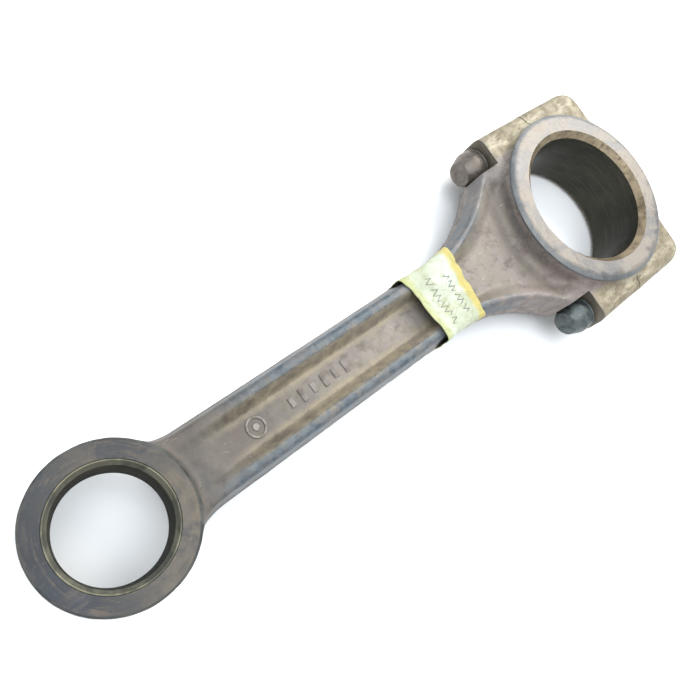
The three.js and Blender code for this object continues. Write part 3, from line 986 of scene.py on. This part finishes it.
def build_bolt(name, y, material):
    """Head, shank and rolled thread, with the flat that clears the rod's neck."""
    seat, tip = SEAT_X - 0.3, BOLT_HIGH.x
    head_end = BOLT_LOW.x
    thread_start = tip - THREAD_LENGTH
    head = [
        (0, head_end + 0.5), (2.2, head_end + 0.35), (3.0, head_end), (6.6, head_end),
        (HEAD_R - 0.7, head_end + 6.2), (HEAD_R - 0.3, head_end + 7.4),
        (HEAD_R - 0.3, seat - 1.5), (HEAD_R - 0.7, seat - 1.2), (HEAD_R - 0.1, seat - 0.9),
        (HEAD_R - 0.1, seat - 0.2), (HEAD_R - 0.4, seat), (BOLT_R, seat), (BOLT_R, thread_start),
    ]
    profile = rounded(head, 0.45) + [(0, thread_start)]
    bolt = turned(name, profile, "x", (0, y, 0), 96, material)
    combine(bolt, threaded_rod("thread", thread_start - 1, tip - 1.2, tip, y, material), "UNION")
    flat = math.copysign(SIDE_WALL_Y + 0.4, y)
    low_y, high_y = sorted((flat, math.copysign(20, y)))
    low = (head_end - 5, low_y, -CLEAR_Z)
    cut(bolt, boxed("flat", low, (seat + 0.01, high_y, CLEAR_Z), material))
    store(bolt.data, "edge", ease((bend_of(bolt.data, 1) - 0.05) / 0.2))
    shade(bolt, 40)
    return bolt


def threaded_rod(name, start, end, tip, y, material):
    """A solid rod whose surface is a single-start screw thread, tapering to a chamfered tip."""
    around, rows_per_pitch = 48, 8
    rows = int((tip - start) / THREAD_PITCH * rows_per_pitch)
    points, faces = [], []
    for i in range(rows + 1):
        height = start + (tip - start) * i / rows
        fade_in = min(1.0, max(0.0, (height - start - 1.2) / 2.0))
        limit = BOLT_R - max(0.0, height - end) * 0.9
        for j in range(around):
            turn = j / around
            phase = (height / THREAD_PITCH - turn) % 1.0
            groove = THREAD_DEPTH * fade_in * max(0.0, 1 - abs(phase - 0.5) / 0.42)
            radius = min(BOLT_R - groove, limit)
            angle = 2 * math.pi * turn
            points.append((height, y + radius * math.cos(angle), radius * math.sin(angle)))
    for i in range(rows):
        for j in range(around):
            k = (j + 1) % around
            a, b = i * around, (i + 1) * around
            faces.append((a + j, a + k, b + k, b + j))
    faces.append(tuple(range(around))[::-1])
    faces.append(tuple(rows * around + j for j in range(around)))
    obj = new_mesh(name, to_frame(points), faces)
    obj.data.materials.append(material)
    return obj


def build_nut(name, y, material):
    """A hexagon whose corners are turned off at both ends."""
    start, end = NUT_LOW.x, NUT_HIGH.x
    corner = (NUT_HIGH.z - NUT_LOW.z) / 2
    hexagon = drill(name, corner, start, end, y, 6, material)
    dome = [
        (0, start), (corner - 1.3, start), (corner + 0.1, start + 0.9),
        (corner + 0.1, end - 0.9), (corner - 1.5, end), (0, end),
    ]
    combine(hexagon, turned("dome", dome, "x", (0, y, 0), 120, material), "INTERSECT")
    cut(hexagon, drill("bore", NUT_BORE_R, start - 5, end + 5, y, material=material))
    bevel = hexagon.modifiers.new("bevel", "BEVEL")
    bevel.width, bevel.segments = 0.25 * MM, 2
    bevel.limit_method = "ANGLE"
    bevel.angle_limit = math.radians(25)
    store(hexagon.data, "edge", np.zeros(len(hexagon.data.vertices)) + 0.3)
    shade(hexagon, 40)
    return hexagon


def build_dowel(name, y, material):
    low, high = DOWEL_LOW.x, DOWEL_HIGH.x
    outer = (DOWEL_HIGH.y - DOWEL_LOW.y) / 2
    inner = BOLT_HOLE_R
    profile = [
        (inner, high - 0.3), (inner, low + 0.3), (inner + 0.3, low), (outer - 0.5, low),
        (outer, low + 0.5), (outer, high - 0.5), (outer - 0.5, high), (inner + 0.3, high),
    ]
    dowel = turned(name, profile, "x", (0, y, 0), 96, material)
    shade(dowel, 40)
    return dowel


# ---- paper tag ----


def tag_point(turn, across):
    """A point of the taped strip: turn runs once round the shank and on over itself.

    The shank's section is a box with round corners, walked side by side in y + z*1j.
    """
    lap = max(0.0, turn - 1.0)
    loop = (turn + TAG_LAP_SIDE) % 1.0
    slant = 2.4 * math.cos(2 * math.pi * (loop - 0.885))
    ragged_start = 0.5 * noise.noise(Vector((turn * 26, 0, 3)))
    ragged_end = 0.9 * noise.noise(Vector((turn * 20, 7, 0)))
    ragged_end += 0.35 * noise.noise(Vector((turn * 80, 2, 0)))
    near_left = min(abs(loop - 0.96), 1 - abs(loop - 0.96))
    start = TAG_LOW.x + 4.2 + ragged_start - 3.6 * math.exp(-((near_left / 0.07) ** 2))
    end = TAG_LOW.x + 3.4 + TAG_WIDTH + slant + ragged_end
    x = start + (end - start) * across
    width = float(half_width(np.array([x]))[0]) + 0.12
    height = FLANGE_TOP + 0.12
    corner = 2.6
    flats = (2 * (width - corner), 2 * (height - corner))
    arc = math.pi * corner / 2
    run = loop * (2 * sum(flats) + 4 * arc)
    lift = 0.22 * (1 + min(1.0, lap * 40)) if lap > 0 else 0.0
    lift += 0.9 * max(0.0, (lap - 0.10) / 0.06) ** 2 * (0.4 + 0.6 * across)
    lift += 0.5 * (1 - across) ** 5 * (1 + noise.noise(Vector((turn * 18, 5, 1))))
    lift += 1.3 * (1 - across) ** 3 * math.exp(-((loop - 0.24) / 0.05) ** 2)
    centre, out = complex(width - corner, height - corner), 1j
    for side in range(4):
        ahead, length = out * 1j, flats[side % 2]
        if run <= length:
            place = centre + ahead * run + out * (corner + lift + tag_sag(run / length, across, side))
            return (x, place.real, place.imag)
        run -= length
        centre += ahead * length
        if run <= arc or side == 3:
            angle = min(run / arc, 1.0) * math.pi / 2
            place = centre + (corner + lift) * out * complex(math.cos(angle), math.sin(angle))
            return (x, place.real, place.imag)
        run -= arc
        out = ahead


def tag_sag(share, across, side):
    """Wrinkles, and the slack where the strip bridges the web."""
    span = math.sin(math.pi * share)
    if side in (0, 2):
        slack = -0.9 * span**2 * (0.55 + 0.45 * math.cos(math.pi * across))
        fold = 0.2 * math.sin(share * 22 + across * 6 + 2 * math.sin(across * 9)) * span
        return slack + fold + 0.3 * noise.noise(Vector((share * 6, across * 5, side)))
    return 0.05 * noise.noise(Vector((share * 6, across * 5, side + 3.0)))


def build_tag(material):
    turns, rows = 330, 40
    points, faces, strip = [], [], []
    for i in range(turns + 1):
        for j in range(rows + 1):
            points.append(tag_point(TAG_TURNS * i / turns, j / rows))
            strip.append((i / turns * TAG_TURNS, j / rows))
    for i in range(turns):
        for j in range(rows):
            a, b = i * (rows + 1) + j, (i + 1) * (rows + 1) + j
            faces.append((a, b, b + 1, a + 1))
    tag = new_mesh("tag", to_frame(points), faces)
    layer = tag.data.uv_layers.new(name="strip")
    for loop in tag.data.loops:
        layer.data[loop.index].uv = strip[loop.vertex_index]
    thick = tag.modifiers.new("thickness", "SOLIDIFY")
    thick.thickness = 0.18 * MM
    thick.offset = 1
    tag.data.materials.append(material)
    shade(tag, 60)
    return tag


# ---- marks raised on the web ----


def build_marks(material):
    """A raised ring with a plain disc in it, and a row of short bars: a generic forging mark."""
    made = []
    ring = rounded([(3.9, -1.5), (3.9, 0.6), (5.0, 0.6), (5.0, -1.5)], 0.3)
    floor = floor_at(120)
    made.append(turned("mark_ring", ring[::-1], centre=(MARK_X, 0, floor), segments=64))
    disc = rounded([(0, -1.5), (1.7, -1.5), (1.7, 0.5), (0, 0.5)], 0.3)
    made.append(turned("mark_disc", disc, centre=(MARK_X, 0, floor), segments=40))
    for i in range(BAR_COUNT):
        tall = 6.6 if i % 2 else 5.0
        made.append(soft_block("mark_bar", (BARS_X + i * BAR_STEP, 0, floor), (2.8, tall, 0.55)))
    for obj in made:
        drape(obj, floor)
        obj.data.materials.append(material)
    return made


def drape(obj, level):
    """Lets a mark that was made at one level follow the web's face along the rod."""
    x, _, _ = mm_of(obj.data)
    for vertex, rise in zip(obj.data.vertices, web_floor(x) - level):
        vertex.co.z += rise * MM


def floor_at(x):
    return float(web_floor(np.array([x]))[0])


def soft_block(name, base, size):
    """A low block with rounded edges standing on base."""
    x, y, z = base
    half_x, half_y = size[0] / 2, size[1] / 2
    low = (x - half_x, y - half_y, z - 1.5)
    block = boxed(name, low, (x + half_x, y + half_y, z + size[2]))
    bevel = block.modifiers.new("bevel", "BEVEL")
    bevel.width, bevel.segments = 0.4 * MM, 3
    return block


# ---- floor, light and camera ----


def build_floor():
    p = Paint("floor")
    grain = p.noise(14, 5, 0.5)
    base = p.mix(p.remap(grain, 0.3, 0.7), (0.89, 0.89, 0.89, 1), (0.92, 0.92, 0.915, 1))
    material = p.finish(base, 0.85, 0.0)
    corners = [(x, y, -0.0005) for x, y in ((-3, -3), (3, -3), (3, 3), (-3, 3))]
    floor = new_mesh("floor", corners, [(0, 1, 2, 3)])
    floor.data.materials.append(material)


def area_light(name, place, target, size, power, colour):
    data = bpy.data.lights.new(name, "AREA")
    data.shape = "RECTANGLE"
    data.size, data.size_y = size
    data.energy = power
    data.color = colour
    light = bpy.data.objects.new(name, data)
    bpy.context.scene.collection.objects.link(light)
    light.location = place
    light.rotation_euler = (Vector(target) - Vector(place)).to_track_quat("-Z", "Y").to_euler()


def build_light():
    world = bpy.data.worlds.new("studio")
    world.use_nodes = True
    background = world.node_tree.nodes["Background"]
    background.inputs["Color"].default_value = (0.90, 0.95, 1.0, 1)
    background.inputs["Strength"].default_value = 1.15
    bpy.context.scene.world = world
    bpy.context.scene.view_settings.view_transform = "Standard"
    area_light("key", (1.15, 0.35, 1.0), (0.05, 0, 0), (0.9, 0.9), 27, (1.0, 0.98, 0.94))
    area_light("sky", (-0.2, -0.1, 1.5), (0, 0, 0), (1.6, 1.2), 18, (0.90, 0.95, 1.0))


def build_camera():
    """A hand-held close-up: nearly over the small end, looking along the rod."""
    data = bpy.data.cameras.new("camera")
    data.sensor_width = 36
    data.lens = 33.2
    data.shift_x = 0.034
    data.shift_y = 0.064
    data.clip_start = 0.01
    camera = bpy.data.objects.new("camera", data)
    bpy.context.scene.collection.objects.link(camera)
    right = Vector((0.7402, -0.5793, 0.3412)).normalized()
    forward = Vector((0.4194, 0.0013, -0.9078))
    forward = (forward - right * forward.dot(right)).normalized()
    up = right.cross(forward)
    turn = Matrix((right, up, -forward)).transposed().to_4x4()
    place = Vector(to_frame((-16.5, -6.4, 268.8)))
    camera.matrix_world = Matrix.Translation(place) @ turn
    bpy.context.scene.camera = camera


# ---- assembly ----


def fit(obj, body, node):
    """Puts a finished piece on its body, in place of a CAD node if it stands for one."""
    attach(obj, body)
    if node:
        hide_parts(node)


def build_all():
    forged = forged_steel()
    small_end, big_end = tuple(ORIGIN), tuple(to_frame((BIG_X, 0, 0)))
    finishes = {
        "forged": forged,
        "small_face": ring_face(
            "small_face", small_end, rgb(44, 46, 49), rgb(72, 68, 63), rgb(104, 90, 73), 0.58, smear=0.8),
        "small_rim": ring_face(
            "small_rim", small_end, rgb(48, 50, 50), rgb(78, 78, 74), rgb(88, 80, 66), 0.6),
        "collar": ring_face(
            "collar_face", big_end, rgb(88, 87, 87), rgb(124, 117, 108), rgb(100, 88, 74), 0.57),
        "rim": ring_face(
            "rim_face", small_end, rgb(80, 83, 86), rgb(108, 108, 107), rgb(88, 81, 70), 0.58),
        "bore": bore_wall_painted_shade(),
        "chamfer": bright_chamfer(),
        "milled": milled_face(),
    }
    fit(build_rod(finishes), "rod", "rod_body")
    fit(build_cap(finishes), "cap", "big_end_cap")
    fit(build_bush(olive_bronze()), "rod", "small_end_bush")
    warm_bolt = black_bolt("bolt_left", rgb(86, 80, 74), rgb(113, 105, 97))
    cool_bolt = black_bolt("bolt_right", rgb(54, 61, 62), rgb(90, 97, 97))
    nut_finish = black_bolt("nut_finish", rgb(99, 90, 74), rgb(128, 120, 99))
    sleeve_finish = ground_steel()
    for side, y, bolt_finish in (("left", BOLT_Y, warm_bolt), ("right", -BOLT_Y, cool_bolt)):
        bolt = build_bolt(f"bolt_{side}", y, bolt_finish)
        fit(bolt, f"bolt_{side}", f"rod_bolt_{side}")
        nut = build_nut(f"nut_{side}", y, nut_finish)
        fit(nut, f"nut_{side}", f"cap_nut_{side}")
        dowel = build_dowel(f"dowel_{side}", y, sleeve_finish)
        fit(dowel, "rod", f"dowel_sleeve_{side}")
    fit(build_tag(paper_finish()), "rod", "paper_tag")
    for mark in build_marks(forged):
        fit(mark, "rod", None)


build_camera()
build_light()
build_floor()
build_all()
